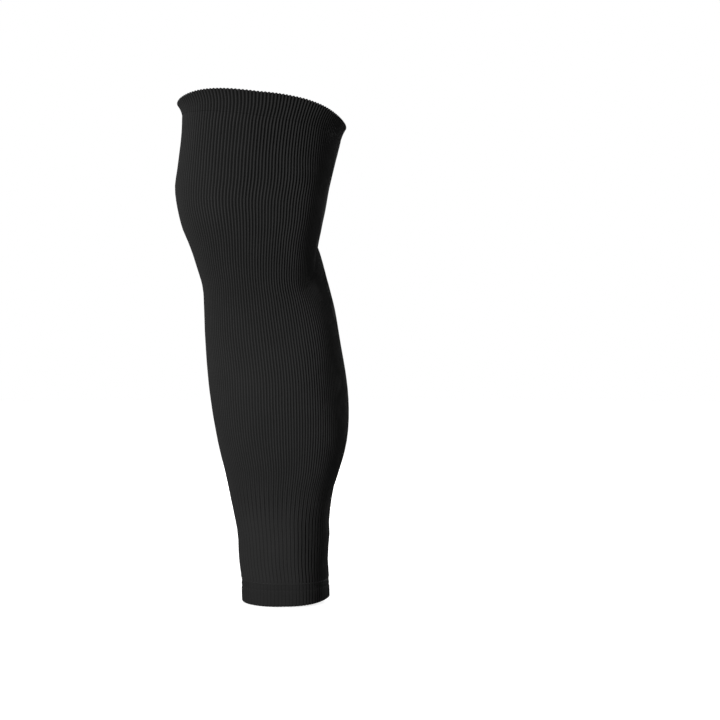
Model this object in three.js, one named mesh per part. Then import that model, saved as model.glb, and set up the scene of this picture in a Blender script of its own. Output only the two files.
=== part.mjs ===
// Footless ribbed-knit leg sleeve, in the form it takes on a leg: cuff, knee, calf and ankle.
// Millimetres. +Z runs up the leg, -X is the shin, +X is the calf, and Y runs across the leg.
// The origin is the centre of the top cuff's opening.
import * as THREE from "three";

// Knit
const TUBE_WALL = 1.8;
const WELT_WALL = 2.6;
const HEM_WALL = 3.0;
const SEAM_GAP = 0.3;

// Rim of the top cuff: it is higher at the thigh's front than behind, and arches up at both flanks
const RIM_TILT = 10.2;
const RIM_ARCH = 8.5;
const RIM_SQUARENESS = 3.8;
const WELT_HEIGHT = 11.5;

// Lip of the cuff, which turns outwards more in front than behind
const FRONT_FLARE = 5.0;
const BACK_FLARE = 3.4;
const LIP_HEIGHT = 13;

// Ankle hem: straight along its stitches, with a lower edge that dips at both flanks and lifts at the heel
const HEM_TOP = -430;
const HEM_BOTTOM = -448.5;
const HEM_DIP = 1.2;
const HEM_LIFT = 1.5;

// Crease behind the knee: it starts at the back of the leg and runs down along both flanks, where the knit
// sinks towards it softly from above and sharply from below
const CREASE_BACK_HEIGHT = -119;
const CREASE_FLANK_HEIGHT = -164;
const CREASE_REACH = THREE.MathUtils.degToRad(64);
const CREASE_DEPTH = 4.5;
const CREASE_WIDTH = 11;
const FOLD_ABOVE = 18;
const FOLD_BELOW = 6;
const CREASE_SOFTNESS = 0.08;

// Facets round the leg, and rows of facets along each piece
const FACETS = 40;
const ROWS = { welt: 6, thigh: 11, shank: 21, hem: 3 };

// Sections of the stretched knit, from the cuff down: reach to the front and back, and half the width.
// A section's front is half an ellipse, and so would its back be with a fullness and roundness of 2. More
// fullness keeps the flanks wide for longer, and less roundness makes the back more pointed.
const SECTIONS = [
  { height: 30, front: -75.0, back: 86.0, halfWidth: 70.0, fullness: 2.4, roundness: 2.3 },
  { height: 0, front: -73.4, back: 77.6, halfWidth: 67.5, fullness: 2.4, roundness: 2.3 },
  { height: -20, front: -74.3, back: 73.9, halfWidth: 66.0, fullness: 2.1, roundness: 2.1 },
  { height: -48, front: -77.6, back: 66.8, halfWidth: 64.0, fullness: 2.3, roundness: 2.5 },
  { height: -67, front: -80.0, back: 62.5, halfWidth: 62.5, fullness: 3.5, roundness: 2.7 },
  { height: -86, front: -77.9, back: 59.2, halfWidth: 60.5, fullness: 4.2, roundness: 2.8 },
  { height: -104, front: -73.5, back: 56.3, halfWidth: 58.0, fullness: 4.2, roundness: 2.7 },
  { height: -121, front: -66.6, back: 55.4, halfWidth: 55.5, fullness: 4.0, roundness: 2.0 },
  { height: -141, front: -59.8, back: 58.3, halfWidth: 53.5, fullness: 3.3, roundness: 1.5 },
  { height: -160, front: -54.3, back: 62.7, halfWidth: 52.8, fullness: 2.6, roundness: 1.45 },
  { height: -179, front: -53.2, back: 67.5, halfWidth: 53.0, fullness: 2.7, roundness: 2.2 },
  { height: -206, front: -52.2, back: 72.1, halfWidth: 54.5, fullness: 3.8, roundness: 2.2 },
  { height: -244, front: -49.2, back: 78.5, halfWidth: 56.5, fullness: 2.9, roundness: 1.8 },
  { height: -272, front: -45.8, back: 80.8, halfWidth: 56.5, fullness: 2.8, roundness: 2.0 },
  { height: -300, front: -40.8, back: 79.1, halfWidth: 53.5, fullness: 3.1, roundness: 2.5 },
  { height: -327, front: -34.5, back: 72.7, halfWidth: 48.0, fullness: 3.2, roundness: 2.5 },
  { height: -346, front: -30.5, back: 66.6, halfWidth: 44.0, fullness: 3.2, roundness: 2.4 },
  { height: -374, front: -24.5, back: 62.5, halfWidth: 39.5, fullness: 2.7, roundness: 2.4 },
  { height: -388, front: -22.1, back: 62.9, halfWidth: 37.5, fullness: 2.8, roundness: 2.3 },
  { height: -411, front: -20.9, back: 61.2, halfWidth: 36.0, fullness: 3.1, roundness: 2.1 },
  { height: -430, front: -18.7, back: 62.4, halfWidth: 35.5, fullness: 3.1, roundness: 1.6 },
  { height: -460, front: -17.8, back: 63.6, halfWidth: 35.5, fullness: 3.1, roundness: 1.3 },
];

// In every function below, turn is the angle round the leg: 0 at the back and half a turn at the front

// Slope of a column of the section table at one of its rows
function slopeAt(row, column) {
  const above = SECTIONS[Math.max(row - 1, 0)];
  const below = SECTIONS[Math.min(row + 1, SECTIONS.length - 1)];
  return (above[column] - below[column]) / (above.height - below.height);
}

// A column of the section table at any height, smoothed by a cubic between two rows
function sizeAt(height, column) {
  const found = SECTIONS.findIndex((section) => section.height <= height);
  const row = Math.max(found, 1);
  const above = SECTIONS[row - 1];
  const below = SECTIONS[row];
  const span = above.height - below.height;
  const t = (height - below.height) / span;
  const ease = t * t * (3 - 2 * t);
  const rise = below[column] + (above[column] - below[column]) * ease;
  const bendBelow = slopeAt(row, column) * span * t * (1 - t) * (1 - t);
  const bendAbove = slopeAt(row - 1, column) * span * t * t * (1 - t);
  return rise + bendBelow - bendAbove;
}

// Height of the crease behind the knee, which levels out on the flanks
function creaseLine(turn) {
  const along = THREE.MathUtils.smoothstep(Math.abs(turn), 0, CREASE_REACH);
  return THREE.MathUtils.lerp(CREASE_BACK_HEIGHT, CREASE_FLANK_HEIGHT, along);
}

// How far the crease draws the knit in
function creaseDepth(turn, height) {
  const along = Math.min(Math.abs(turn) / CREASE_REACH, 1);
  const rise = height - creaseLine(turn);
  const flankWidth = rise > 0 ? FOLD_ABOVE : FOLD_BELOW;
  const width = THREE.MathUtils.lerp(CREASE_WIDTH, flankWidth, along);
  const away = Math.hypot(rise / width, CREASE_SOFTNESS) - CREASE_SOFTNESS;
  return CREASE_DEPTH * (1 - along * along) * Math.exp(-away);
}

// A power that keeps the sign of what it raises
const signedPower = (value, power) => Math.sign(value) * Math.abs(value) ** power;

// A point of the knit's outer surface, moved outwards by an amount
function knitPoint(turn, height, outwards) {
  const front = sizeAt(height, "front");
  const back = sizeAt(height, "back");
  const halfDepth = (back - front) / 2;
  const halfWidth = sizeAt(height, "halfWidth");
  const cosine = Math.cos(turn);
  const sine = Math.sin(turn);
  const fullness = cosine > 0 ? sizeAt(height, "fullness") : 2;
  const roundness = cosine > 0 ? sizeAt(height, "roundness") : 2;
  const normal = new THREE.Vector2(
    (fullness / halfDepth) * signedPower(cosine, 2 - 2 / fullness),
    (roundness / halfWidth) * signedPower(sine, 2 - 2 / roundness),
  ).normalize();
  const offset = outwards - creaseDepth(turn, height);
  const x = (front + back) / 2 + halfDepth * signedPower(cosine, 2 / fullness) + normal.x * offset;
  const y = halfWidth * signedPower(sine, 2 / roundness) + normal.y * offset;
  return new THREE.Vector3(x, y, height);
}

// Edges of the pieces, as heights round the leg
const rimTilt = (turn) => -RIM_TILT * Math.cos(turn);
const rimEdge = (turn) => rimTilt(turn) + RIM_ARCH * (1 - Math.abs(Math.cos(turn)) ** RIM_SQUARENESS);
const weltEdge = (turn) => rimTilt(turn) - WELT_HEIGHT;
const hemEdge = () => HEM_TOP;
const footEdge = (turn) => HEM_BOTTOM - HEM_DIP * Math.sin(turn) ** 2 + HEM_LIFT * Math.cos(turn);

// Flare of the lip, which grows towards the rim
function lipFlare(turn, height) {
  const flare = THREE.MathUtils.lerp(FRONT_FLARE, BACK_FLARE, (1 + Math.cos(turn)) / 2);
  const below = (rimEdge(turn) - height) / LIP_HEIGHT;
  return flare * Math.max(1 - below, 0) ** 2;
}

// Rows of heights from one edge down to another, both included
function rowsBetween(upper, lower, count) {
  return Array.from({ length: count + 1 }, (_, row) => (turn) =>
    THREE.MathUtils.lerp(upper(turn), lower(turn), row / count));
}

// A closed hollow wall of knit: side 0 is the outer skin and side 1 the inner one, joined along both edges
function knitWall(rows, wall, flare) {
  const positions = [];
  for (const inwards of [0, wall]) {
    for (const row of rows) {
      for (let facet = 0; facet < FACETS; facet += 1) {
        const turn = (facet / FACETS - 0.5) * 2 * Math.PI;
        const height = row(turn);
        positions.push(...knitPoint(turn, height, flare(turn, height) - inwards));
      }
    }
  }
  const vertex = (side, row, facet) => (side * rows.length + row) * FACETS + (facet % FACETS);
  const triangles = [];
  const quad = (a, b, c, d) => triangles.push(a, b, c, a, c, d);
  const last = rows.length - 1;
  for (let facet = 0; facet < FACETS; facet += 1) {
    const next = facet + 1;
    for (let row = 0; row < last; row += 1) {
      quad(vertex(0, row, facet), vertex(0, row + 1, facet), vertex(0, row + 1, next), vertex(0, row, next));
      quad(vertex(1, row, facet), vertex(1, row, next), vertex(1, row + 1, next), vertex(1, row + 1, facet));
    }
    quad(vertex(0, 0, facet), vertex(0, 0, next), vertex(1, 0, next), vertex(1, 0, facet));
    quad(vertex(0, last, facet), vertex(1, last, facet), vertex(1, last, next), vertex(0, last, next));
  }
  const geometry = new THREE.BufferGeometry();
  geometry.setAttribute("position", new THREE.Float32BufferAttribute(positions, 3));
  geometry.setIndex(triangles);
  geometry.computeVertexNormals();
  return geometry;
}

const noFlare = () => 0;
const blackKnit = { color: 0x242424, roughness: 0.95, metalness: 0 };

function knitPiece(name, geometry) {
  const mesh = new THREE.Mesh(geometry, new THREE.MeshStandardMaterial(blackKnit));
  mesh.name = name;
  return mesh;
}

// The tube, with a row of facets that follows the crease behind the knee
function legTube() {
  const top = (turn) => weltEdge(turn) - SEAM_GAP;
  const bottom = () => hemEdge() + SEAM_GAP;
  const thigh = rowsBetween(top, creaseLine, ROWS.thigh);
  const shank = rowsBetween(creaseLine, bottom, ROWS.shank);
  return knitPiece("leg_tube", knitWall([...thigh, ...shank.slice(1)], TUBE_WALL, noFlare));
}

function topWelt() {
  const rows = rowsBetween(rimEdge, weltEdge, ROWS.welt);
  return knitPiece("top_welt", knitWall(rows, WELT_WALL, lipFlare));
}

function ankleHem() {
  const rows = rowsBetween(hemEdge, footEdge, ROWS.hem);
  return knitPiece("ankle_hem", knitWall(rows, HEM_WALL, noFlare));
}

const sleeve = new THREE.Group();
sleeve.name = "leg_sleeve";
sleeve.add(topWelt(), legTube(), ankleHem());

export default sleeve;
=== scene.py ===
"""A footless ribbed-knit leg sleeve, knitted in the places that its packed tube, cuff and hem hold."""

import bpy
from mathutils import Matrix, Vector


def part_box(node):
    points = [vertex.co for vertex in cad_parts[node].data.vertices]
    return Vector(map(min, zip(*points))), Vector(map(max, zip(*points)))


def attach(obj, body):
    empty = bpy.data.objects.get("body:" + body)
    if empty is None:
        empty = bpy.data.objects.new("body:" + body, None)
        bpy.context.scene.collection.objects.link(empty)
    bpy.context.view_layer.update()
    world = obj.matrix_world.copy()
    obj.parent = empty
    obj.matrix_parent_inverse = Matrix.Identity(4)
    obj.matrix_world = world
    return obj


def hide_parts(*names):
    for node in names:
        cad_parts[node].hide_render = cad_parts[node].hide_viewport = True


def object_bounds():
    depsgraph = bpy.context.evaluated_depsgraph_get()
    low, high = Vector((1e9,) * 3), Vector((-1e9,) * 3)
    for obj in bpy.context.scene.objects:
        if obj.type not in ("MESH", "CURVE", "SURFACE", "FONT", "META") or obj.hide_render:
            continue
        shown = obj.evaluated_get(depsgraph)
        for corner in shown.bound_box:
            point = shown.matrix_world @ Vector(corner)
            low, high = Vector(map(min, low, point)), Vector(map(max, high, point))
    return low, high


bl_info = {
    "name": "Ribbed leg sleeve",
    "version": (1, 0, 0),
    "blender": (4, 5, 0),
    "location": "View3D > Sidebar > Leg sleeve",
    "description": "Knits a ribbed leg sleeve, sews its hem and sets a plain studio round it",
    "category": "Object",
}

import functools
import math
from typing import Callable, NamedTuple

import bpy
import numpy as np
from mathutils import Vector

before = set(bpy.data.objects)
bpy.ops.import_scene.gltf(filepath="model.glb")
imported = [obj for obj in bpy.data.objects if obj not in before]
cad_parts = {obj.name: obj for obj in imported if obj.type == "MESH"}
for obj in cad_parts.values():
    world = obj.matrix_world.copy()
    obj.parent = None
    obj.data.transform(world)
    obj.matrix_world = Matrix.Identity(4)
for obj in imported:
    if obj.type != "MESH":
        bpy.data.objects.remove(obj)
CAD_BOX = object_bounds()

# The knit's form on the leg, in metres. Turn is the angle round the leg: 0 behind, half a turn at the shin.


class Section(NamedTuple):
    """A level section of the stretched knit: its reach to the front and back, and half its width.

    Its front is half an ellipse. Its back would be one too with a fullness and roundness of 2: more fullness
    keeps the flanks wide for longer, and less roundness makes the back more pointed. Twist is how far the
    knit has turned on the leg, in degrees: its ribs have moved forwards on the -Y flank, and back on the +Y
    one. Relief is the depth that the ribs have there, beside the depth that is set for the knit.
    """

    height: float
    front: float
    back: float
    half_width: float
    fullness: float
    roundness: float
    twist: float
    relief: float


SECTIONS = (
    Section(0.030, -0.0750, 0.0860, 0.0700, 2.40, 2.30, 0.5, 1.05),
    Section(0.000, -0.0734, 0.0776, 0.0675, 2.40, 2.30, -0.5, 1.05),
    Section(-0.020, -0.0743, 0.0739, 0.0660, 2.10, 2.10, -0.5, 1.05),
    Section(-0.048, -0.0776, 0.0668, 0.0640, 2.30, 2.50, -1.5, 1.00),
    Section(-0.067, -0.0800, 0.0625, 0.0625, 3.50, 2.70, -1.5, 1.00),
    Section(-0.086, -0.0779, 0.0592, 0.0605, 4.20, 2.80, 0.5, 0.95),
    Section(-0.104, -0.0735, 0.0563, 0.0580, 4.20, 2.70, 0.5, 0.90),
    Section(-0.121, -0.0666, 0.0554, 0.0555, 4.00, 2.00, 2.0, 0.85),
    Section(-0.141, -0.0598, 0.0583, 0.0535, 3.30, 1.50, 5.5, 0.82),
    Section(-0.160, -0.0543, 0.0627, 0.0528, 2.60, 1.45, 8.5, 0.78),
    Section(-0.179, -0.0532, 0.0675, 0.0530, 2.70, 2.20, 11.0, 0.75),
    Section(-0.206, -0.0522, 0.0721, 0.0545, 3.80, 2.20, 12.0, 0.70),
    Section(-0.244, -0.0492, 0.0785, 0.0565, 2.90, 1.80, 10.5, 0.62),
    Section(-0.272, -0.0458, 0.0808, 0.0565, 2.80, 2.00, 12.5, 0.60),
    Section(-0.300, -0.0408, 0.0791, 0.0535, 3.10, 2.50, 14.5, 0.58),
    Section(-0.327, -0.0345, 0.0727, 0.0480, 3.20, 2.50, 13.5, 0.52),
    Section(-0.346, -0.0305, 0.0666, 0.0440, 3.20, 2.40, 13.5, 0.50),
    Section(-0.374, -0.0245, 0.0625, 0.0395, 2.70, 2.40, 14.5, 1.00),
    Section(-0.388, -0.0221, 0.0629, 0.0375, 2.80, 2.30, 15.5, 1.30),
    Section(-0.411, -0.0209, 0.0612, 0.0360, 3.10, 2.10, 14.5, 1.35),
    Section(-0.430, -0.0187, 0.0624, 0.0355, 3.10, 1.60, 13.5, 1.35),
    Section(-0.460, -0.0178, 0.0636, 0.0355, 3.10, 1.30, 13.5, 1.35),
)

# Fullness and roundness of an ellipse
ELLIPSE = 2.0

# Rim of the cuff, crease behind the knee and edges of the hem
RIM_TILT = 0.0102
RIM_ARCH = 0.0085
RIM_SQUARENESS = 3.8
WELT_HEIGHT = 0.0115
FRONT_FLARE = 0.0050
BACK_FLARE = 0.0034
LIP_HEIGHT = 0.013
CREASE_BACK_HEIGHT = -0.119
CREASE_FLANK_HEIGHT = -0.164
CREASE_REACH = math.radians(64)
CREASE_DEPTH = 0.0045
CREASE_WIDTH = 0.011
FOLD_ABOVE = 0.018
FOLD_BELOW = 0.006
CREASE_SOFTNESS = 0.08
HEM_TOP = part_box("ankle_hem")[1].z
HEM_BOTTOM = -0.4485
HEM_DIP = 0.0012
HEM_LIFT = 0.0015

# The kneecap, where the knit is stretched and its ribs are shallower
KNEECAP_HEIGHT = -0.072
KNEECAP_RISE = 0.030
KNEECAP_REACH = math.radians(50)
KNEECAP_EASING = 0.35

# The ankle, where the ribs are shallower in front and on the flanks than behind: the height where that
# starts and the fall over which it grows, and the cosines of the turn between which the ribs deepen
ANKLE_START = -0.345
ANKLE_FALL = 0.035
ANKLE_EASING = 0.8
ANKLE_FLANK = (0.05, 0.60)

# How far the flanks' ribs lie behind an even spacing, as a share of the way round
RIB_SPREAD = 0.024

# Points of one rib's cross-section, and the level rings that are measured to space the ribs: their points,
# the step from one to the next, and the rounds in which a ring that isn't level settles between them
RIB_POINTS = 6
MEASURED_POINTS = 1440
LEVEL_STEP = 0.002
SETTLING_STEPS = 8

# Girth at the cuff, from which it is reckoned how far the knit is drawn in elsewhere
WIDEST_GIRTH = 0.453

# UV maps: one for the knit loops, and one where each face has its own place and inner skins get less room
KNIT_MAP = "Knit"
BAKE_MAP = "OFBake"
INNER_MAP_SHARE = 0.4


# Settings


def length_setting(name, description, default, least=0.0):
    """A setting that holds a length in metres."""
    return bpy.props.FloatProperty(
        name=name, description=description, default=default, min=least, unit="LENGTH", precision=5
    )


def number_setting(name, description, default, least=0.0, most=2.0):
    """A setting that holds a plain number."""
    return bpy.props.FloatProperty(name=name, description=description, default=default, min=least, max=most)


def grey_setting(name, description, default):
    """A setting that holds a colour, which is a grey at first."""
    return bpy.props.FloatVectorProperty(
        name=name, description=description, subtype="COLOR", size=3, default=(default, default, default)
    )


def power_setting(name, description, default):
    """A setting that holds a lamp's power in watts."""
    return bpy.props.FloatProperty(name=name, description=description, default=default, unit="POWER")


class KnitSettings(bpy.types.PropertyGroup):
    """Sizes and colours of the knit."""

    rib_count: bpy.props.IntProperty(
        name="Ribs", description="Ribs round the leg, an even number", default=148, min=24, max=400
    )
    rib_depth: length_setting("Rib depth", "Depth of the groove between two ribs at the top", 0.0015)
    rib_roundness: number_setting(
        "Rib roundness", "Under 1 a rib is broad and its groove narrow", 0.8, 0.2, 3.0
    )
    pairing: number_setting(
        "Pairing", "How much shallower every second groove is where the knit is drawn in", 0.95, most=1.0
    )
    narrowing: number_setting(
        "Narrowing", "How much narrower a rib's crest gets where the knit is drawn in", 2.4, most=4.0
    )
    # Painted shade: the knit's colour darkens where it is drawn in and its grooves close up
    density: number_setting("Density", "How much darker the knit is where it is drawn in", 0.38)
    crest_rise: length_setting("Crest rise", "How far a rib's crest stands out of the mean form", 0.0003)
    waver: number_setting("Waver", "How far a rib strays sideways, as a share of its width", 0.22, most=1.0)
    unevenness: length_setting("Unevenness", "Height of the knit's soft swells", 0.0005)
    seed: bpy.props.IntProperty(name="Seed", description="Picks the pattern of waver and swells", default=7)
    course_height: length_setting("Course height", "Height of one knit loop", 0.0013, 0.0002)
    tube_wall: length_setting("Tube wall", "Thickness of the tube's knit", 0.0018, 0.0005)
    welt_wall: length_setting("Cuff wall", "Thickness of the turned cuff", 0.0026, 0.0005)
    hem_wall: length_setting("Hem wall", "Thickness of the turned hem", 0.0030, 0.0005)
    crest_colour: grey_setting("Crest colour", "Colour on top of the ribs", 0.037)
    # Painted shade: the cuff is a darker copy of the tube's knit, standing in for the shade on its lip that
    # faces away from the light
    welt_shade: number_setting("Cuff shade", "Brightness of the turned cuff beside the tube, which has 1", 0.9)
    # Painted shade: the hem is a darker copy of the tube's knit, standing in for the shade that falls on it
    # under the tube's edge
    hem_shade: number_setting("Hem shade", "Brightness of the turned hem beside the tube, which has 1", 0.75)
    # The groove colour is painted shade: far darker than the yarn, it stands in for the shade that falls
    # between the ribs
    groove_shade_colour: grey_setting("Groove shade colour", "Colour between the ribs", 0.002)


class StitchSettings(bpy.types.PropertyGroup):
    """Sizes and colour of the sewing thread."""

    thread_radius: length_setting("Thread radius", "Half the thickness of the thread", 0.0003)
    stitch_length: length_setting("Stitch length", "Length of one stitch of the hem", 0.0019)
    needle_gap: length_setting("Needle gap", "Distance between the hem's two rows of stitches", 0.0063)
    thread_colour: grey_setting("Thread colour", "Colour of the sewing thread", 0.028)


class StageSettings(bpy.types.PropertyGroup):
    """The camera and the plain studio round the sleeve."""

    lens: bpy.props.FloatProperty(
        name="Lens", description="Focal length of the camera", default=65.0, subtype="DISTANCE_CAMERA"
    )
    camera_place: bpy.props.FloatVectorProperty(
        name="Camera", description="Place of the camera, which looks level along +Y",
        default=(0.0913, -1.209, -0.2269), subtype="TRANSLATION",
    )
    floor_gap: length_setting("Floor gap", "Gap between the hem and the floor", 0.0005)
    floor_colour: grey_setting("Floor colour", "Colour of the floor", 0.9)
    key_power: power_setting("Key light", "Power of the key light", 19.2)
    fill_power: power_setting("Fill light", "Power of the fill light", 3.0)
    back_power: power_setting("Back light", "Power of the light behind the calf", 12.0)
    far_power: power_setting("Far light", "Power of the light on the far flank", 12.0)
    ambient: number_setting("Ambient", "Strength of the light from all round", 0.065)


# Form


def section_at(height):
    """The sections at some heights, smoothed between the table's rows, with an array in each field."""
    table = np.array(SECTIONS[::-1])
    levels = table[:, 0]
    slopes = np.empty_like(table)
    slopes[1:-1] = (table[2:] - table[:-2]) / (levels[2:] - levels[:-2])[:, None]
    slopes[0] = (table[1] - table[0]) / (levels[1] - levels[0])
    slopes[-1] = (table[-1] - table[-2]) / (levels[-1] - levels[-2])
    below = np.clip(np.searchsorted(levels, height, side="right") - 1, 0, len(levels) - 2)
    span = (levels[below + 1] - levels[below])[:, None]
    t = (height - levels[below])[:, None] / span
    sizes = table[below] + (table[below + 1] - table[below]) * t * t * (3 - 2 * t)
    sizes += slopes[below] * span * t * (1 - t) ** 2 - slopes[below + 1] * span * t * t * (1 - t)
    return Section(*sizes.T)


def smooth_step(value, start, stop):
    """A share that eases from 0 to 1 as a value goes from start to stop."""
    share = np.clip((value - start) / (stop - start), 0, 1)
    return share * share * (3 - 2 * share)


def crease_line(turn):
    """Height of the crease behind the knee, which runs down from the back and levels out on both flanks."""
    along = smooth_step(np.abs(turn), 0, CREASE_REACH)
    return CREASE_BACK_HEIGHT + (CREASE_FLANK_HEIGHT - CREASE_BACK_HEIGHT) * along


def crease_depth(turn, height):
    """How far the crease draws the knit in: on the flanks, softly above its line and sharply below."""
    along = np.clip(np.abs(turn) / CREASE_REACH, 0, 1)
    rise = height - crease_line(turn)
    flank_width = np.where(rise > 0, FOLD_ABOVE, FOLD_BELOW)
    width = CREASE_WIDTH + (flank_width - CREASE_WIDTH) * along
    away = np.hypot(rise / width, CREASE_SOFTNESS) - CREASE_SOFTNESS
    return CREASE_DEPTH * (1 - along ** 2) * np.exp(-away)


def signed_power(value, power):
    """A power that keeps the sign of what it raises."""
    return np.sign(value) * np.abs(value) ** power


def knit_surface(turn, height):
    """Points of the knit's outer form, and the level directions that point straight out of it."""
    section = section_at(height)
    middle = (section.front + section.back) / 2
    half_depth = (section.back - section.front) / 2
    cosine, sine = np.cos(turn), np.sin(turn)
    full = np.where(cosine > 0, section.fullness, ELLIPSE)
    rounded = np.where(cosine > 0, section.roundness, ELLIPSE)
    out = np.stack([
        full / half_depth * signed_power(cosine, 2 - 2 / full),
        rounded / section.half_width * signed_power(sine, 2 - 2 / rounded),
        np.zeros_like(turn),
    ], axis=1)
    out /= np.linalg.norm(out, axis=1, keepdims=True)
    points = np.stack([
        middle + half_depth * signed_power(cosine, 2 / full),
        section.half_width * signed_power(sine, 2 / rounded),
        height,
    ], axis=1)
    return points - out * crease_depth(turn, height)[:, None], out


def rim_edge(turn):
    """Height of the cuff's rim, which is higher in front and arches up at both flanks."""
    return -RIM_TILT * np.cos(turn) + RIM_ARCH * (1 - np.abs(np.cos(turn)) ** RIM_SQUARENESS)


def welt_edge(turn):
    """Height of the seam under the cuff."""
    return -RIM_TILT * np.cos(turn) - WELT_HEIGHT


def hem_edge(turn):
    """Height of the hem's seam."""
    return np.full_like(turn, HEM_TOP)


def foot_edge(turn):
    """Height of the hem's lower edge."""
    return HEM_BOTTOM - HEM_DIP * np.sin(turn) ** 2 + HEM_LIFT * np.cos(turn)


def lip_flare(turn, height):
    """How far the lip turns outwards, which grows towards the rim and is more in front than behind."""
    below = (rim_edge(turn) - height) / LIP_HEIGHT
    flare = (FRONT_FLARE + BACK_FLARE) / 2 + (BACK_FLARE - FRONT_FLARE) / 2 * np.cos(turn)
    return flare * np.clip(1 - below, 0, None) ** 2


def kneecap_easing(turn, height):
    """Share of the ribs' depth that is left, which is less on the kneecap."""
    aside = (np.pi - np.abs(turn)) / KNEECAP_REACH
    away = (height - KNEECAP_HEIGHT) / KNEECAP_RISE
    return 1 - KNEECAP_EASING * np.exp(-aside ** 2 - away ** 2)


def ankle_easing(turn, height):
    """Share of the ribs' depth that is left, which is less in front and on the flanks of the ankle."""
    within = smooth_step(ANKLE_START - height, 0, ANKLE_FALL)
    behind = smooth_step(np.cos(turn), *ANKLE_FLANK)
    return 1 - ANKLE_EASING * within * (1 - behind)


def between(upper, lower, share):
    """The line that lies a share of the way from one edge down to another."""
    def edge(turn):
        return upper(turn) + (lower(turn) - upper(turn)) * share
    return edge


def raised(line, rise):
    """An edge moved up by an amount."""
    def edge(turn):
        return line(turn) + rise
    return edge


# Knitting


# Sides of a wall: a course of the inner skin, of a turned edge or of the outer skin
INNER, TURNED, OUTER = -1, 0, 1


class Course(NamedTuple):
    """A ring of knit: its height round the leg, how far it stands out of the form, and its ribs.

    Relief is the share of the ribs' full depth. On the inner side a rib lies where the outer side has a
    groove.
    """

    edge: Callable
    stand: Callable
    relief: float
    side: int = OUTER


def at_level(amount):
    """A ring that stands out by the same amount all round."""
    def stand(turn, height):
        return np.full_like(turn, amount)
    return stand


def on_lip(amount):
    """A ring that follows the lip's flare, and stands out of it by an amount."""
    def stand(turn, height):
        return lip_flare(turn, height) + amount
    return stand


@functools.cache
def level_rings(columns):
    """Heights of level rings, from the ankle up, and each ring's turn, X and Y at the columns of the ribs.

    A ring is measured at points that crowd towards the shin, the flanks and the back, where it bends most.
    """
    levels = np.arange(SECTIONS[-1].height, SECTIONS[0].height, LEVEL_STEP)
    quarters = np.linspace(0, 4, MEASURED_POINTS + 1)
    part = quarters % 1
    crowded = part ** 3 * (10 - 15 * part + 6 * part ** 2)
    fine = (np.floor(quarters) + crowded - 2) * np.pi / 2
    even = np.arange(columns) / columns
    rings = []
    for level in levels:
        points, _ = knit_surface(fine, np.full_like(fine, level))
        steps = np.linalg.norm(np.diff(points, axis=0), axis=1)
        along = np.concatenate(([0.0], np.cumsum(steps))) / steps.sum()
        share = even - section_at(np.array([level])).twist / 360
        share += RIB_SPREAD * np.sin(2 * np.pi * share)
        rounds = np.floor(share)
        turn, x, y = (np.interp(share - rounds, along, values) for values in (fine, *points.T[:2]))
        rings.append([turn + rounds * 2 * np.pi, x, y])
    return levels, np.array(rings)


def rib_places(edge, columns):
    """Turns round the leg, from the shin, where an edge crosses the columns of the ribs, and its points."""
    levels, rings = level_rings(columns)
    column = np.arange(columns)
    turn = rings[len(levels) // 2, 0]
    for _ in range(SETTLING_STEPS):
        place = np.clip((edge(turn) - levels[0]) / LEVEL_STEP, 0, len(levels) - 1)
        below = np.minimum(place.astype(int), len(levels) - 2)
        share = place - below
        turn, x, y = rings[below, :, column].T * (1 - share) + rings[below + 1, :, column].T * share
    return turn, np.stack([x, y, edge(turn)], axis=1)


class Ring(NamedTuple):
    """A course before its ribs are raised: its points, the level directions out of the leg, the ribs' depth
    at each point, and how far the knit is drawn in from its widest girth.
    """

    points: np.ndarray
    out: np.ndarray
    relief: np.ndarray
    closeness: float


def ring(course, columns):
    """The ring of a course. Where the knit is narrower, its ribs are closer together."""
    turn, points = rib_places(course.edge, columns)
    height = points[:, 2]
    _, out = knit_surface(turn, height)
    girth = np.linalg.norm(np.roll(points, -1, axis=0) - points, axis=1).sum()
    closeness = max(1 - girth / WIDEST_GIRTH, 0.0)
    easing = kneecap_easing(turn, height) * ankle_easing(turn, height)
    relief = course.relief * section_at(height).relief * easing
    return Ring(points + out * course.stand(turn, height)[:, None], out, relief, closeness)


def outward_directions(grid):
    """Directions that point out of a wall, from the rings before and after and the columns on both sides."""
    along = np.roll(grid, -1, axis=0) - np.roll(grid, 1, axis=0)
    across = np.roll(grid, -1, axis=1) - np.roll(grid, 1, axis=1)
    out = np.cross(along, across)
    return out / np.linalg.norm(out, axis=2, keepdims=True)


def loop_lengths(grid):
    """Distance along the wall's cross-section at each ring, and right round it."""
    steps = np.linalg.norm(np.roll(grid, -1, axis=0) - grid, axis=2).mean(axis=1)
    return np.concatenate(([0.0], np.cumsum(steps))), steps


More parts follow.
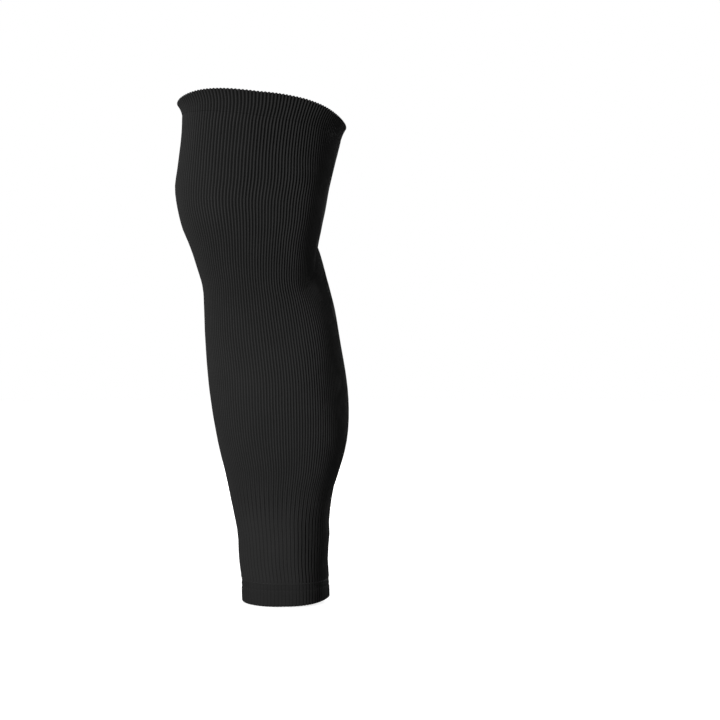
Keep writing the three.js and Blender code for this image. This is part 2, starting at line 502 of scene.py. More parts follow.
def wall_mesh(name, courses, settings):
    """A closed wall from courses that go down its outer side and up its inner side, still without ribs."""
    columns = settings.rib_count * RIB_POINTS
    rings = [ring(course, columns) for course in courses]
    grid = np.array([each.points for each in rings])
    out = np.array([each.out for each in rings])
    side = np.array([course.side for course in courses])
    turned = outward_directions(grid)
    outward = np.where((side == TURNED)[:, None, None], turned, out * side[:, None, None])
    rows = len(courses)
    row, column = np.meshgrid(np.arange(rows), np.arange(columns), indexing="ij")
    next_row, next_column = (row + 1) % rows, (column + 1) % columns
    corners = np.stack([
        row * columns + column,
        next_row * columns + column,
        next_row * columns + next_column,
        row * columns + next_column,
    ], axis=-1).reshape(-1, 4)
    mesh = bpy.data.meshes.new(name)
    mesh.from_pydata(grid.reshape(-1, 3), [], corners)
    shift = np.where(side == INNER, 0.5, 0.0)
    wale = np.arange(columns) / RIB_POINTS
    add_attribute(mesh, "wale", "FLOAT", "value", wale[None, :] + shift[:, None])
    add_attribute(mesh, "relief", "FLOAT", "value", np.array([each.relief for each in rings]))
    closeness = np.array([each.closeness for each in rings])
    add_attribute(mesh, "closeness", "FLOAT", "value", np.repeat(closeness, columns))
    add_attribute(mesh, "outward", "FLOAT_VECTOR", "vector", outward)
    add_attribute(mesh, "aside", "FLOAT_VECTOR", "vector", out)
    length, steps = loop_lengths(grid)
    drawn = np.concatenate(([0.0], np.cumsum(steps * np.where(side == INNER, INNER_MAP_SHARE, 1.0))))
    across = np.stack([column, column, column + 1, column + 1], axis=-1).reshape(-1)
    down = np.stack([row, row + 1, row + 1, row], axis=-1).reshape(-1)
    own_shift = np.repeat(shift, columns * 4)
    add_map(mesh, KNIT_MAP, across / RIB_POINTS + own_shift, length[down] / settings.course_height)
    add_map(mesh, BAKE_MAP, across / columns, drawn[down] / drawn[-1])
    mesh.polygons.foreach_set("use_smooth", np.ones(len(corners), dtype=bool))
    mesh.update()
    return mesh


def add_attribute(mesh, name, kind, field, values):
    """A value for each vertex of a mesh."""
    attribute = mesh.attributes.new(name, kind, "POINT")
    attribute.data.foreach_set(field, np.asarray(values, dtype=np.float32).ravel())


def add_map(mesh, name, across, down):
    """A UV map of a mesh, with a place for each corner of each face."""
    layer = mesh.uv_layers.new(name=name)
    layer.uv.foreach_set("vector", np.stack([across, down], axis=1).astype(np.float32).ravel())


# Nodes


def add_node(tree, kind, inputs=None, **settings):
    """A node with its settings. An input takes a value, or a link from another node's output."""
    node = tree.nodes.new(kind)
    for key, value in settings.items():
        setattr(node, key, value)
    for key, value in (inputs or {}).items():
        if isinstance(value, bpy.types.NodeSocket):
            tree.links.new(value, node.inputs[key])
        else:
            node.inputs[key].default_value = value
    return node


def calculate(tree, operation, *values):
    """The result of a sum on sockets or numbers."""
    return add_node(tree, "ShaderNodeMath", dict(enumerate(values)), operation=operation).outputs[0]


def scaled(tree, vector, scale):
    """A vector or a colour, scaled by a socket or a number."""
    inputs = {0: vector, "Scale": scale}
    return add_node(tree, "ShaderNodeVectorMath", inputs, operation="SCALE").outputs[0]


def stored(tree, name, kind="FLOAT"):
    """What a mesh holds under a name at each of its points."""
    return add_node(tree, "GeometryNodeInputNamedAttribute", {"Name": name}, data_type=kind).outputs[0]


def new_geometry_tree(name, *numbers):
    """A tree that takes a geometry, the named numbers and a material, and the sockets that give them."""
    tree = bpy.data.node_groups.new(name, "GeometryNodeTree")
    tree.interface.new_socket("Geometry", in_out="INPUT", socket_type="NodeSocketGeometry")
    for number in numbers:
        tree.interface.new_socket(number, in_out="INPUT", socket_type="NodeSocketFloat")
    tree.interface.new_socket("Material", in_out="INPUT", socket_type="NodeSocketMaterial")
    tree.interface.new_socket("Geometry", in_out="OUTPUT", socket_type="NodeSocketGeometry")
    return tree, tree.nodes.new("NodeGroupInput").outputs


def close_geometry_tree(tree, geometry, material):
    """Ends a tree: instances are made real, and the material is set."""
    real = add_node(tree, "GeometryNodeRealizeInstances", {"Geometry": geometry})
    painted = add_node(tree, "GeometryNodeSetMaterial", {"Geometry": real.outputs[0], "Material": material})
    add_node(tree, "NodeGroupOutput", {"Geometry": painted.outputs[0]})
    return tree


def stray(tree, scale, seed):
    """A smooth random value from -1 to 1 over the knit, at a number of swings for each metre."""
    noise = add_node(
        tree, "ShaderNodeTexNoise", {"W": seed, "Scale": scale, "Detail": 1.0}, noise_dimensions="4D"
    )
    return calculate(tree, "MULTIPLY_ADD", noise.outputs[0], 2.0, -1.0)


# How far the knit is drawn in where its ribs start to pair up, and where they are paired
PAIRED_FROM = 0.25
PAIRED_TO = 0.42


def rib_tree():
    """Raises ribs on a wall that knows its wales, its relief and its directions at each point."""
    tree, given = new_geometry_tree(
        "Rib knit", "Rib Depth", "Rib Roundness", "Pairing", "Narrowing", "Density", "Crest Rise",
        "Waver", "Waver Scale", "Unevenness", "Swell Scale", "Seed",
    )
    closeness = stored(tree, "closeness")
    sideways = calculate(tree, "MULTIPLY", stray(tree, given["Waver Scale"], given["Seed"]), given["Waver"])
    wale = calculate(tree, "ADD", stored(tree, "wale"), sideways)
    wave = calculate(tree, "COSINE", calculate(tree, "MULTIPLY", wale, 2 * math.pi))
    arch = calculate(tree, "MULTIPLY_ADD", wave, -0.5, 0.5)
    power = calculate(tree, "MULTIPLY_ADD", closeness, given["Narrowing"], given["Rib Roundness"])
    rounded = calculate(tree, "POWER", arch, power)
    every_second = calculate(tree, "COSINE", calculate(tree, "MULTIPLY", wale, math.pi))
    shallower = calculate(tree, "MULTIPLY_ADD", every_second, 0.5, -0.5)
    pairing = add_node(tree, "ShaderNodeMapRange", {
        "Value": closeness, "From Min": PAIRED_FROM, "From Max": PAIRED_TO,
        "To Min": 0.0, "To Max": given["Pairing"],
    }, interpolation_type="SMOOTHSTEP").outputs[0]
    paired = calculate(tree, "MULTIPLY_ADD", shallower, pairing, 1.0)
    groove = calculate(tree, "MULTIPLY", calculate(tree, "SUBTRACT", 1.0, rounded), paired)
    sunk = calculate(tree, "MULTIPLY", groove, stored(tree, "relief"))
    depth = calculate(tree, "MULTIPLY", sunk, given["Rib Depth"])
    lift = calculate(tree, "SUBTRACT", given["Crest Rise"], depth)
    swells = stray(tree, given["Swell Scale"], given["Seed"])
    swell = calculate(tree, "MULTIPLY", swells, given["Unevenness"])
    offset = add_node(tree, "ShaderNodeVectorMath", {
        0: scaled(tree, stored(tree, "outward", "FLOAT_VECTOR"), lift),
        1: scaled(tree, stored(tree, "aside", "FLOAT_VECTOR"), swell),
    }, operation="ADD")
    moved = add_node(
        tree, "GeometryNodeSetPosition", {"Geometry": given["Geometry"], "Offset": offset.outputs[0]}
    )
    # Painted shade: the stored crest share falls where a groove sinks and where the knit is drawn in, which
    # darkens the colour there towards the groove shade colour
    dark = calculate(tree, "MULTIPLY_ADD", closeness, given["Density"], sunk)
    kept = add_node(
        tree, "GeometryNodeStoreNamedAttribute",
        {"Geometry": moved.outputs[0], "Name": "crest", "Value": calculate(tree, "SUBTRACT", 1.0, dark)},
        data_type="FLOAT", domain="POINT",
    )
    return close_geometry_tree(tree, kept.outputs[0], given["Material"])


def stitch_tree():
    """Lays a stitch at each point of a ring that knows its directions along the row and out of the knit."""
    tree, given = new_geometry_tree("Stitch row", "Stitch Length", "Thread Radius")
    bead = add_node(tree, "GeometryNodeMeshUVSphere", {"Segments": 8, "Rings": 6, "Radius": 1.0})
    half = calculate(tree, "MULTIPLY", given["Stitch Length"], 0.5)
    size = add_node(
        tree, "ShaderNodeCombineXYZ", {"X": half, "Y": given["Thread Radius"], "Z": given["Thread Radius"]}
    )
    thread = add_node(
        tree, "GeometryNodeTransform", {"Geometry": bead.outputs["Mesh"], "Scale": size.outputs[0]}
    )
    along = add_node(tree, "FunctionNodeAlignRotationToVector", {
        "Vector": stored(tree, "along", "FLOAT_VECTOR"),
    }, axis="X")
    upright = add_node(tree, "FunctionNodeAlignRotationToVector", {
        "Rotation": along.outputs[0], "Vector": stored(tree, "outward", "FLOAT_VECTOR"),
    }, axis="Z", pivot_axis="X")
    sewn = add_node(
        tree, "GeometryNodeInstanceOnPoints",
        {"Points": given["Geometry"], "Instance": thread.outputs[0], "Rotation": upright.outputs[0]},
    )
    return close_geometry_tree(tree, sewn.outputs[0], given["Material"])


# Values at each point that only the trees read
HELPERS = ("wale", "relief", "closeness", "outward", "aside", "along")


def grow(piece, tree, values):
    """Runs a geometry tree on a piece with the named values, and leaves its result as a plain mesh."""
    modifier = piece.modifiers.new(tree.name, "NODES")
    modifier.node_group = tree
    sockets = [socket for socket in tree.interface.items_tree if socket.in_out == "INPUT"]
    named = {socket.name: socket.identifier for socket in sockets}
    for label, value in values.items():
        modifier[named[label]] = value
    evaluated = piece.evaluated_get(bpy.context.evaluated_depsgraph_get())
    mesh = bpy.data.meshes.new_from_object(evaluated)
    before = piece.data
    piece.modifiers.remove(modifier)
    piece.data = mesh
    mesh.name = piece.name
    bpy.data.meshes.remove(before)
    for helper in HELPERS:
        if helper in mesh.attributes:
            mesh.attributes.remove(mesh.attributes[helper])
    if not mesh.polygons:
        raise RuntimeError(f"{piece.name} came out of its nodes with no faces")


def add_piece(name, mesh):
    """An object at the origin that shows a mesh."""
    piece = bpy.data.objects.new(name, mesh)
    bpy.context.scene.collection.objects.link(piece)
    return piece


# Materials

WHITE = (1.0, 1.0, 1.0, 1.0)

# Knit loops: how far a strand slants over half a rib, as a share of a loop's height, and how high its top is
LOOP_SLANT = 0.6
LOOP_TOP = 1.15

# Yarn: swings of its lint and of its pale patches for each metre, its brightness and roughness without them,
# and what lint, patches and loops add; the loops paint shade, with the knit darker between them than on
# their tops
LINT_SCALE = 2600.0
LINT_DETAIL = 3.0
PATCH_SCALE = 45.0
YARN_TONE = 0.62
LINT_TONE = 0.5
PATCH_TONE = 0.22
FLAT_TONE = 0.85
LOOP_TONE = 0.25
LINT_RELIEF = 0.35
YARN_ROUGHNESS = 0.8
LINT_ROUGHNESS = 0.16

# Sewing thread: swings of its twist for each metre, its brightness, and what the twist adds
TWIST_SCALE = 3800.0
THREAD_TONE = 0.7
TWIST_TONE = 0.6


def new_material(name):
    """A material with an empty node tree, and that tree."""
    material = bpy.data.materials.new(name)
    material.use_nodes = True
    material.node_tree.nodes.clear()
    return material, material.node_tree


def close_material(tree, inputs):
    """Ends a material's tree with a shader that has the given inputs."""
    shader = add_node(tree, "ShaderNodeBsdfPrincipled", inputs)
    add_node(tree, "ShaderNodeOutputMaterial", {"Surface": shader.outputs[0]})


def noise(tree, place, scale, detail=2.0):
    """A smooth random value from 0 to 1."""
    inputs = {"Vector": place, "Scale": scale, "Detail": detail}
    return add_node(tree, "ShaderNodeTexNoise", inputs).outputs[0]


def knit_loops(tree):
    """Height of the knit loops: two slanted strands each, which meet in a V along the top of a rib."""
    place = add_node(tree, "ShaderNodeUVMap", uv_map=KNIT_MAP)
    axes = add_node(tree, "ShaderNodeSeparateXYZ", {0: place.outputs[0]})
    centred = calculate(tree, "SUBTRACT", calculate(tree, "FRACT", axes.outputs[0]), 0.5)
    aside = calculate(tree, "MULTIPLY", calculate(tree, "ABSOLUTE", centred), 2.0)
    slanted = calculate(tree, "MULTIPLY_ADD", aside, -LOOP_SLANT, axes.outputs[1])
    strand = calculate(tree, "SINE", calculate(tree, "MULTIPLY", calculate(tree, "FRACT", slanted), math.pi))
    return calculate(tree, "MULTIPLY", strand, calculate(tree, "SUBTRACT", LOOP_TOP, aside))


def knit_material(name, settings, tone=1.0):
    """Matt black yarn: paler on the ribs and darker between them, where shade is painted into the colour,
    with loops, lint and a soft bloom.
    """
    material, tree = new_material(name)
    place = tree.nodes.new("ShaderNodeTexCoord").outputs["Object"]
    crest = add_node(tree, "ShaderNodeAttribute", attribute_name="crest").outputs["Fac"]
    loops = knit_loops(tree)
    lint = noise(tree, place, LINT_SCALE, LINT_DETAIL)
    patches = noise(tree, place, PATCH_SCALE)
    # Sockets 6 and 7 of a mix are its two colours, and 2 is the colour that comes out
    # This mix paints shade into the grooves: it goes from the yarn's colour on the crests to the far darker
    # groove shade colour
    yarn_and_groove_shade = add_node(tree, "ShaderNodeMix", {
        0: crest, 6: (*settings.groove_shade_colour, 1.0), 7: (*settings.crest_colour, 1.0),
    }, data_type="RGBA").outputs[2]
    mottle = calculate(tree, "MULTIPLY_ADD", lint, LINT_TONE, YARN_TONE)
    mottle = calculate(tree, "MULTIPLY_ADD", patches, PATCH_TONE, mottle)
    # Painted shade: darker between the loops than on their tops, and darker all over by the tone of a cuff
    # or hem copy
    painted_shade = calculate(tree, "MULTIPLY_ADD", loops, LOOP_TONE * tone, FLAT_TONE * tone)
    relief = calculate(tree, "MULTIPLY_ADD", lint, LINT_RELIEF, loops)
    bump = add_node(tree, "ShaderNodeBump", {"Height": relief, "Strength": 0.55, "Distance": 0.0003})
    close_material(tree, {
        "Base Color": scaled(tree, yarn_and_groove_shade, calculate(tree, "MULTIPLY", mottle, painted_shade)),
        "Normal": bump.outputs[0],
        "Roughness": calculate(tree, "MULTIPLY_ADD", lint, LINT_ROUGHNESS, YARN_ROUGHNESS),
        "Specular IOR Level": 0.25,
        "Sheen Weight": 0.03,
        "Sheen Roughness": 0.45,
        "Sheen Tint": WHITE,
    })
    return material


def thread_material(settings):
    """Black sewing thread, twisted and a little smoother than the yarn."""
    material, tree = new_material("Black thread")
    place = tree.nodes.new("ShaderNodeTexCoord").outputs["Object"]
    twist = noise(tree, place, TWIST_SCALE)
    tone = calculate(tree, "MULTIPLY_ADD", twist, TWIST_TONE, THREAD_TONE)
    bump = add_node(tree, "ShaderNodeBump", {"Height": twist, "Strength": 0.4, "Distance": 0.0001})
    close_material(tree, {
        "Base Color": scaled(tree, tuple(settings.thread_colour), tone),
        "Normal": bump.outputs[0],
        "Roughness": 0.62,
        "Specular IOR Level": 0.35,
    })
    return material


# Pieces

# The tube: how far below its seam and above its hem it has close rows, its rows from the cuff down, those of
# its inner skin, and how they crowd towards the crease
SEAM_ZONE = 0.006
STITCH_ZONE = 0.006
SEAM_ROWS = 7
THIGH_ROWS = 27
SHANK_ROWS = 38
STITCH_ROWS = 10
INNER_THIGH_ROWS = 7
INNER_SHANK_ROWS = 13
CREASE_CROWDING = 1.5

# Seams: the gap between two pieces, the small step that keeps an edge crisp, and a tongue of knit behind it
SEAM_GAP = 0.0001
EDGE_STEP = 0.0002
TONGUE_HEIGHT = 0.003
TONGUE_GAP = 0.0008

# How far seams and stitches draw the knit in, how flat they press its ribs, and over what distance
SEAM_PULL = 0.0001
SEAM_PRESS = 0.05
STITCH_PULL = 0.0005
STITCH_PRESS = 0.5
PULL_WIDTH = 0.0012

# How far the upper row of stitches is above the hem's seam, and how far a stitch's middle stands out of the
# knit that it draws in, as a share of the thread's radius
STITCH_RISE = 0.0007
STITCH_STAND = 0.6

# How far the hem is tucked in at its seam, and the height over which it comes out again
HEM_TUCK = 0.0006
HEM_TUCK_HEIGHT = 0.007

# Depth of the ribs on the hem and on inner skins, as a share of their depth on the tube's outer skin
HEM_RELIEF = 0.6
INNER_RELIEF = 0.4

# Rows of the cuff and the hem: along their outer skins, round their turned edges and along their inner skins
WELT_SKIN_ROWS = 15
HEM_SKIN_ROWS = 22
ROUND_ROWS = 7
WALL_ROWS = 8

# Swings of the ribs' waver and of the knit's soft swells for each metre
WAVER_SCALE = 42.0
SWELL_SCALE = 24.0


def spots(count, crowding=1.0):
    """Shares from 0 towards 1, closer together near 0 where crowding is over 1."""
    return (np.arange(count) / count) ** crowding


def pinch(distance):
    """How strongly a row of stitches holds the knit at a distance from it, from 0 to 1."""
    return math.exp(-((distance / PULL_WIDTH) ** 2))


def tube_courses(knit):
    """The tube's courses: down the outer skin, along the crease and the stitches, and up the inner skin."""
    top = raised(welt_edge, -SEAM_GAP)
    bottom = raised(hem_edge, SEAM_GAP)
    seam_end = raised(welt_edge, -SEAM_ZONE)
    stitch_start = raised(hem_edge, STITCH_ZONE)
    courses = [Course(top, at_level(-SEAM_PULL), 1 - SEAM_PRESS)]
    for share in np.linspace(EDGE_STEP / SEAM_ZONE, 1, SEAM_ROWS, endpoint=False):
        held = pinch(share * SEAM_ZONE)
        pressed = 1 - SEAM_PRESS * held
        courses.append(Course(between(top, seam_end, share), at_level(-SEAM_PULL * held), pressed))
    for share in 1 - spots(THIGH_ROWS, CREASE_CROWDING)[::-1]:
        courses.append(Course(between(seam_end, crease_line, share - 1 / THIGH_ROWS), at_level(0.0), 1.0))
    for share in spots(SHANK_ROWS, CREASE_CROWDING):
        courses.append(Course(between(crease_line, stitch_start, share), at_level(0.0), 1.0))
    for share in np.append(np.linspace(0, 1 - EDGE_STEP / STITCH_ZONE, STITCH_ROWS), 1.0):
        held = pinch((1 - share) * STITCH_ZONE - STITCH_RISE)
        pressed = 1 - STITCH_PRESS * held
        courses.append(Course(between(stitch_start, bottom, share), at_level(-STITCH_PULL * held), pressed))
    inside = at_level(-knit.tube_wall)
    courses.append(Course(bottom, inside, 0.0, INNER))
    for share in spots(INNER_SHANK_ROWS)[1:]:
        courses.append(Course(between(bottom, crease_line, share), inside, INNER_RELIEF, INNER))
    for share in spots(INNER_THIGH_ROWS):
        courses.append(Course(between(crease_line, top, share), inside, INNER_RELIEF, INNER))
    courses.append(Course(top, inside, 0.0, INNER))
    return courses


def round_edge(line, wall, stand, start, stop, reliefs):
    """Courses round a turned edge between two angles: 0 is outwards, and a quarter turn is along the leg."""
    radius = wall / 2
    courses = []
    for angle, relief in zip(np.linspace(start, stop, ROUND_ROWS), np.linspace(*reliefs, ROUND_ROWS)):
        edge = raised(line, radius * math.sin(angle))
        courses.append(Course(edge, stand(radius * math.cos(angle) - radius), relief, TURNED))
    return courses


def welt_courses(knit):
    """The cuff's courses: over the rim, down to its seam and behind it, and up the inner skin."""
    lip = raised(rim_edge, -knit.welt_wall / 2)
    bottom = raised(welt_edge, SEAM_GAP)
    tongue = raised(welt_edge, -TONGUE_HEIGHT)
    behind = on_lip(-knit.tube_wall - TONGUE_GAP)
    inside = on_lip(-knit.welt_wall)
    courses = round_edge(lip, knit.welt_wall, on_lip, math.pi, 0.0, (0.0, 1.0))
    for share in np.append(spots(WELT_SKIN_ROWS)[1:], 1 - EDGE_STEP / WELT_HEIGHT):
        held = pinch((1 - share) * WELT_HEIGHT)
        pressed = 1 - SEAM_PRESS * held
        courses.append(Course(between(lip, bottom, share), on_lip(-SEAM_PULL * held), pressed))
    courses.append(Course(bottom, on_lip(-SEAM_PULL), 1 - SEAM_PRESS))
    courses.append(Course(bottom, behind, 0.0))
    courses.append(Course(tongue, behind, 0.0))
    courses.append(Course(tongue, inside, 0.0, INNER))
    for share in spots(WALL_ROWS)[1:]:
        relief = INNER_RELIEF * math.sin(math.pi * share)
        courses.append(Course(between(tongue, lip, share), inside, relief, INNER))
    return courses


def hem_courses(knit, stitch):
    """The hem's courses: a tongue behind its seam, the outer skin, the lower edge and the inner skin."""
    foot = raised(foot_edge, knit.hem_wall / 2)
    top = raised(hem_edge, -SEAM_GAP)
    tongue = raised(hem_edge, TONGUE_HEIGHT)
    behind = at_level(-knit.tube_wall - TONGUE_GAP)
    inside = at_level(-knit.hem_wall)
    height = HEM_TOP - HEM_BOTTOM
    courses = [
        Course(tongue, inside, 0.0, INNER),
        Course(tongue, behind, 0.0),
        Course(top, behind, 0.0),
    ]
    for share in np.insert(spots(HEM_SKIN_ROWS)[1:], 0, [0.0, EDGE_STEP / height]):
        below = share * height + STITCH_RISE
        held = max(pinch(below), pinch(below - stitch.needle_gap))
        tucked = HEM_TUCK * max(1 - share * height / HEM_TUCK_HEIGHT, 0.0) ** 2
        drawn_in = at_level(-max(tucked, STITCH_PULL * held))
        courses.append(Course(between(top, foot, share), drawn_in, HEM_RELIEF * (1 - STITCH_PRESS * held)))
    courses += round_edge(foot, knit.hem_wall, at_level, 0.0, -math.pi, (HEM_RELIEF, 0.0))
    for share in spots(WALL_ROWS)[1:]:
        relief = HEM_RELIEF * math.sin(math.pi * share)
        courses.append(Course(between(foot, tongue, share), inside, relief, INNER))
    return courses


def knit_piece(name, node, courses, material):
    """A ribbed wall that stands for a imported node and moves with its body."""
    knit = bpy.context.scene.sleeve_knit
    piece = add_piece(name, wall_mesh(name, courses, knit))
    tree = bpy.data.node_groups.get("Rib knit") or rib_tree()
    grow(piece, tree, {
        "Rib Depth": knit.rib_depth,
        "Rib Roundness": knit.rib_roundness,
        "Pairing": knit.pairing,
        "Narrowing": knit.narrowing,
        "Density": knit.density,
        "Crest Rise": knit.crest_rise,
        "Waver": knit.waver,
        "Waver Scale": WAVER_SCALE,
        "Unevenness": knit.unevenness,
        "Swell Scale": SWELL_SCALE,
        "Seed": float(knit.seed),
        "Material": material,
    })
    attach(piece, "root")
    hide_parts(node)
    return piece


def stitch_row(name, edge, stand, offset):
    """A row of stitches along an edge of the knit, one to a pair of ribs, moved along by some ribs."""
    stitch = bpy.context.scene.sleeve_stitch
    ribs = bpy.context.scene.sleeve_knit.rib_count
    row = ring(Course(edge, stand, 0.0), ribs * RIB_POINTS)
    chosen = np.arange(offset * RIB_POINTS, ribs * RIB_POINTS, 2 * RIB_POINTS)
    along = np.roll(row.points, -1, axis=0) - np.roll(row.points, 1, axis=0)
    mesh = bpy.data.meshes.new(name)
    mesh.from_pydata(row.points[chosen], [], [])
    add_attribute(mesh, "outward", "FLOAT_VECTOR", "vector", row.out[chosen])
    add_attribute(mesh, "along", "FLOAT_VECTOR", "vector", along[chosen])
    piece = add_piece(name, mesh)
    tree = bpy.data.node_groups.get("Stitch row") or stitch_tree()
    grow(piece, tree, {
        "Stitch Length": stitch.stitch_length,
        "Thread Radius": stitch.thread_radius,
        "Material": bpy.data.materials.get("Black thread") or thread_material(stitch),
    })
    piece.data.polygons.foreach_set("use_smooth", np.ones(len(piece.data.polygons), dtype=bool))
    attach(piece, "root")


# Operators


class SLEEVE_OT_knit_welt(bpy.types.Operator):
    """Knit the flared cuff at the top of the sleeve"""

    bl_idname = "sleeve.knit_welt"
    bl_label = "Knit cuff"

    def execute(self, context):
        knit = context.scene.sleeve_knit
        # The cuff's knit has painted shade: it is darker than the tube's by its shade setting
        material = knit_material("Cuff knit", knit, knit.welt_shade)
        knit_piece("knit_welt", "top_welt", welt_courses(knit), material)
        return {"FINISHED"}


class SLEEVE_OT_knit_hem(bpy.types.Operator):
    """Knit the turned hem at the ankle"""

    bl_idname = "sleeve.knit_hem"
    bl_label = "Knit hem"

    def execute(self, context):
        knit = context.scene.sleeve_knit
        courses = hem_courses(knit, context.scene.sleeve_stitch)
        # The hem's knit has painted shade: it is darker than the tube's by its shade setting
        material = knit_material("Hem knit", knit, knit.hem_shade)
        knit_piece("knit_hem", "ankle_hem", courses, material)
        return {"FINISHED"}


class SLEEVE_OT_sew_stitches(bpy.types.Operator):
    """Sew the two rows of stitches that hold the hem"""

    bl_idname = "sleeve.sew_stitches"
    bl_label = "Sew stitches"

    def execute(self, context):
        stitch = context.scene.sleeve_stitch
        laid = at_level(stitch.thread_radius * STITCH_STAND - STITCH_PULL)
        upper = raised(hem_edge, STITCH_RISE)
        lower = raised(upper, -stitch.needle_gap)
        stitch_row("hem_stitches_upper", upper, laid, 0)
        stitch_row("hem_stitches_lower", lower, laid, 1)
        return {"FINISHED"}


class SLEEVE_OT_knit_tube(bpy.types.Operator):
    """Knit the ribbed tube from the cuff to the ankle, once its cuff, hem and stitches are there"""

    bl_idname = "sleeve.knit_tube"
    bl_label = "Knit tube"

    def execute(self, context):
        knit = context.scene.sleeve_knit
        material = knit_material("Tube knit", knit)
        tube = knit_piece("knit_tube", "leg_tube", tube_courses(knit), material)
        return {"FINISHED"}


# The floor: its radius and sides, its glow near the sleeve and far off and the distances between which that
# changes, and its mottle, with the swings of it for each metre
FLOOR_RADIUS = 6.0
FLOOR_SIDES = 96
FLOOR_GLOW = (0.82, 1.0)
FLOOR_FADE = (0.25, 1.2)
FLOOR_TONE = 0.99
MOTTLE_TONE = 0.02
MOTTLE_SCALE = 3.0


class Lamp(NamedTuple):
    """A soft light: where it stands round the sleeve's middle, in degrees and metres, and its size."""

    name: str
    azimuth: float
    elevation: float
    distance: float
    width: float
    height: float


LAMPS = {
    "key_power": Lamp("key_light", -35.0, 8.0, 1.6, 0.5, 0.9),
    "fill_power": Lamp("fill_light", 42.0, 6.0, 1.6, 0.5, 0.9),
    "back_power": Lamp("back_light", 145.0, 15.0, 1.6, 0.8, 0.9),
    "far_power": Lamp("far_light", -174.0, 15.0, 1.6, 0.8, 0.9),
}


def add_lamp(lamp, power, middle):
    """A soft light that faces the sleeve's middle. Azimuth 0 is the camera's side, and +90 is the calf's."""
    data = bpy.data.lights.new(lamp.name, "AREA")
    data.shape = "RECTANGLE"
    data.size = lamp.width
    data.size_y = lamp.height
    data.energy = power
    light = bpy.data.objects.new(lamp.name, data)
    azimuth = math.radians(lamp.azimuth)
    elevation = math.radians(lamp.elevation)
    level = math.cos(elevation)
    away = Vector((math.sin(azimuth) * level, -math.cos(azimuth) * level, math.sin(elevation)))
    light.location = middle + away * lamp.distance
    light.rotation_euler = away.to_track_quat("Z", "Y").to_euler()
    bpy.context.scene.collection.objects.link(light)


def floor_material(colour):
    """Pale matt studio floor, with the faintest mottle, which fades into the white surroundings."""
    material, tree = new_material("Studio floor")
    place = tree.nodes.new("ShaderNodeTexCoord").outputs["Object"]
    tone = calculate(tree, "MULTIPLY_ADD", noise(tree, place, MOTTLE_SCALE), MOTTLE_TONE, FLOOR_TONE)
    away = add_node(tree, "ShaderNodeVectorMath", {0: place}, operation="LENGTH").outputs["Value"]
    glow = add_node(tree, "ShaderNodeMapRange", {
        "Value": away, "From Min": FLOOR_FADE[0], "From Max": FLOOR_FADE[1],
        "To Min": FLOOR_GLOW[0], "To Max": FLOOR_GLOW[1],
    }, interpolation_type="SMOOTHSTEP")
    close_material(tree, {
        "Base Color": scaled(tree, tuple(colour), tone),
        "Roughness": 0.9,
        "Specular IOR Level": 0.1,
        "Emission Color": WHITE,
        "Emission Strength": glow.outputs[0],
    })
    return material


def white_surroundings(ambient):
    """A white backdrop all round, which lights the sleeve only a little."""
    world = bpy.data.worlds.new("Studio")
    world.use_nodes = True
    tree = world.node_tree
    tree.nodes.clear()
    seen = tree.nodes.new("ShaderNodeLightPath").outputs["Is Camera Ray"]
    lit = add_node(tree, "ShaderNodeBackground", {"Color": WHITE, "Strength": ambient})
    shown = add_node(tree, "ShaderNodeBackground", {"Color": WHITE, "Strength": 1.0})
    mixed = add_node(tree, "ShaderNodeMixShader", {0: seen, 1: lit.outputs[0], 2: shown.outputs[0]})
    add_node(tree, "ShaderNodeOutputWorld", {"Surface": mixed.outputs[0]})
    return world


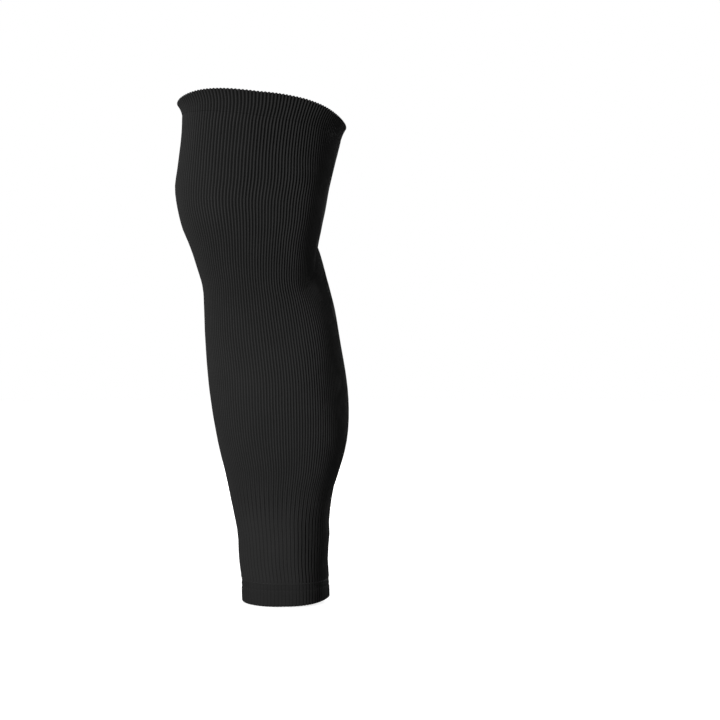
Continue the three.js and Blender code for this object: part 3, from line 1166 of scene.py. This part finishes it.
class SLEEVE_OT_set_stage(bpy.types.Operator):
    """Set the floor, the white surroundings, the lights and the camera"""

    bl_idname = "sleeve.set_stage"
    bl_label = "Set stage"

    def execute(self, context):
        scene, stage = context.scene, context.scene.sleeve_stage
        low, high = CAD_BOX
        middle = (low + high) / 2
        place = (middle.x, middle.y, low.z - stage.floor_gap)
        bpy.ops.mesh.primitive_circle_add(
            vertices=FLOOR_SIDES, radius=FLOOR_RADIUS, fill_type="NGON", location=place
        )
        floor = context.object
        floor.name = "studio_floor"
        floor.data.materials.append(floor_material(stage.floor_colour))
        floor.visible_diffuse = False
        floor.visible_glossy = False
        for power, lamp in LAMPS.items():
            add_lamp(lamp, getattr(stage, power), middle)
        scene.world = white_surroundings(stage.ambient)
        scene.view_settings.view_transform = "Standard"
        camera = bpy.data.objects.new("camera", bpy.data.cameras.new("camera"))
        camera.data.lens = stage.lens
        camera.location = stage.camera_place
        camera.rotation_euler = (math.pi / 2, 0.0, 0.0)
        scene.collection.objects.link(camera)
        scene.camera = camera
        return {"FINISHED"}


class SLEEVE_PT_panel(bpy.types.Panel):
    """The sleeve's sizes, colours and steps"""

    bl_idname = "SLEEVE_PT_panel"
    bl_label = "Leg sleeve"
    bl_space_type = "VIEW_3D"
    bl_region_type = "UI"
    bl_category = "Leg sleeve"

    def draw(self, context):
        layout = self.layout
        for settings in (context.scene.sleeve_knit, context.scene.sleeve_stitch, context.scene.sleeve_stage):
            box = layout.box()
            for key in settings.bl_rna.properties.keys():
                if key not in ("rna_type", "name"):
                    box.prop(settings, key)
        for operator in OPERATORS:
            layout.operator(operator.bl_idname)


OPERATORS = (
    SLEEVE_OT_set_stage,
    SLEEVE_OT_knit_welt,
    SLEEVE_OT_knit_hem,
    SLEEVE_OT_sew_stitches,
    SLEEVE_OT_knit_tube,
)
CLASSES = (KnitSettings, StitchSettings, StageSettings, *OPERATORS, SLEEVE_PT_panel)


def register():
    for each in CLASSES:
        bpy.utils.register_class(each)
    bpy.types.Scene.sleeve_knit = bpy.props.PointerProperty(type=KnitSettings)
    bpy.types.Scene.sleeve_stitch = bpy.props.PointerProperty(type=StitchSettings)
    bpy.types.Scene.sleeve_stage = bpy.props.PointerProperty(type=StageSettings)


def unregister():
    del bpy.types.Scene.sleeve_stage
    del bpy.types.Scene.sleeve_stitch
    del bpy.types.Scene.sleeve_knit
    for each in reversed(CLASSES):
        bpy.utils.unregister_class(each)


def main():
    register()
    bpy.ops.sleeve.set_stage()
    bpy.ops.sleeve.knit_welt()
    bpy.ops.sleeve.knit_hem()
    bpy.ops.sleeve.sew_stitches()
    bpy.ops.sleeve.knit_tube()


if __name__ == "__main__":
    main()
